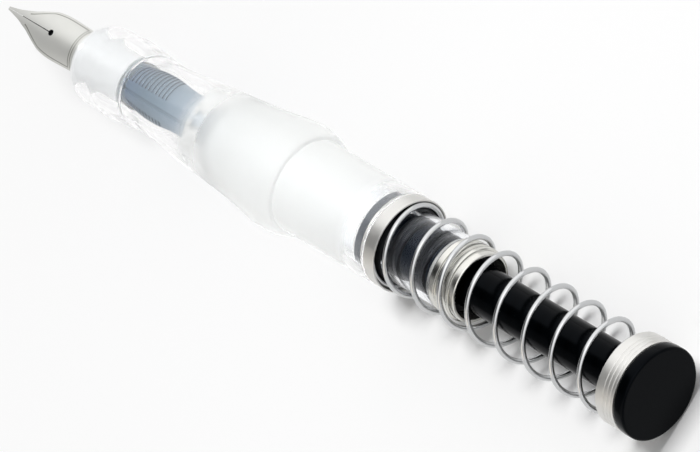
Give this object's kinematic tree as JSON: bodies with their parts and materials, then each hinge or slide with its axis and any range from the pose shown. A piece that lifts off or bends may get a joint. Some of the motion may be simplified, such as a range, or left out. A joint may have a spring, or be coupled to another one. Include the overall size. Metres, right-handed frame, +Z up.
{
  "type": "fountain pen",
  "caption": "Clear fountain pen with a push-knob piston filler: steel nib, finned feed, ink chamber, return spring and sprung knob, shown without cap or rear sleeve.",
  "frame": {"origin": "half way along the pen, under its axis, at the height of the lowest point of the shoulder it lies on", "axes": "+X along the pen from the nib to the push knob, +Y across it, +Z up, the way the nib's face looks"},
  "size_m": [0.1211, 0.015, 0.0149],
  "materials": {
    "clear_barrel": "clear, polished, 5 percent haze",
    "clear_chamber": "clear, polished",
    "nib_steel": "satin",
    "ring_steel": "satin, turned",
    "spring_steel": "drawn wire, bright satin",
    "feed_plastic": "moulded, slate blue",
    "black_plastic": "polished black",
    "piston_plastic": "moulded, very dark blue",
    "silicone": "pale translucent silicone",
    "seal_rubber": "black, matt"
  },
  "bodies": {
    "barrel": {"front_barrel": "clear_barrel", "nib": "nib_steel", "feed": "feed_plastic", "nib_housing": "clear_barrel", "housing_o_ring": "silicone", "chamber_front_o_ring": "silicone", "ink_chamber": "clear_chamber", "chamber_gasket": "seal_rubber", "front_spring_ring": "ring_steel", "spring_seat_washer": "seal_rubber", "return_spring": "spring_steel", "chamber_end_cap": "ring_steel", "end_cap_o_ring": "silicone", "rod_wiper": "seal_rubber"},
    "cup": {"spring_cup": "ring_steel"},
    "plunger": {"plunger_rod": "black_plastic", "push_knob": "black_plastic", "piston_head": "piston_plastic", "piston_front_seal": "seal_rubber", "piston_rear_seal": "seal_rubber"}
  },
  "joints": [
    {"name": "plunger_push", "type": "slide", "parent": "barrel", "child": "cup", "axis": [-1, 0, 0], "range_m": [0, 0.027], "stiffness_N_per_m": 180, "springref_m": -0.01, "deforming": ["return_spring"]},
    {"name": "plunger_turn", "type": "hinge", "parent": "cup", "child": "plunger", "pos_m": [0, 0, 0.00746], "axis": [1, 0, 0], "continuous": true}
  ]
}
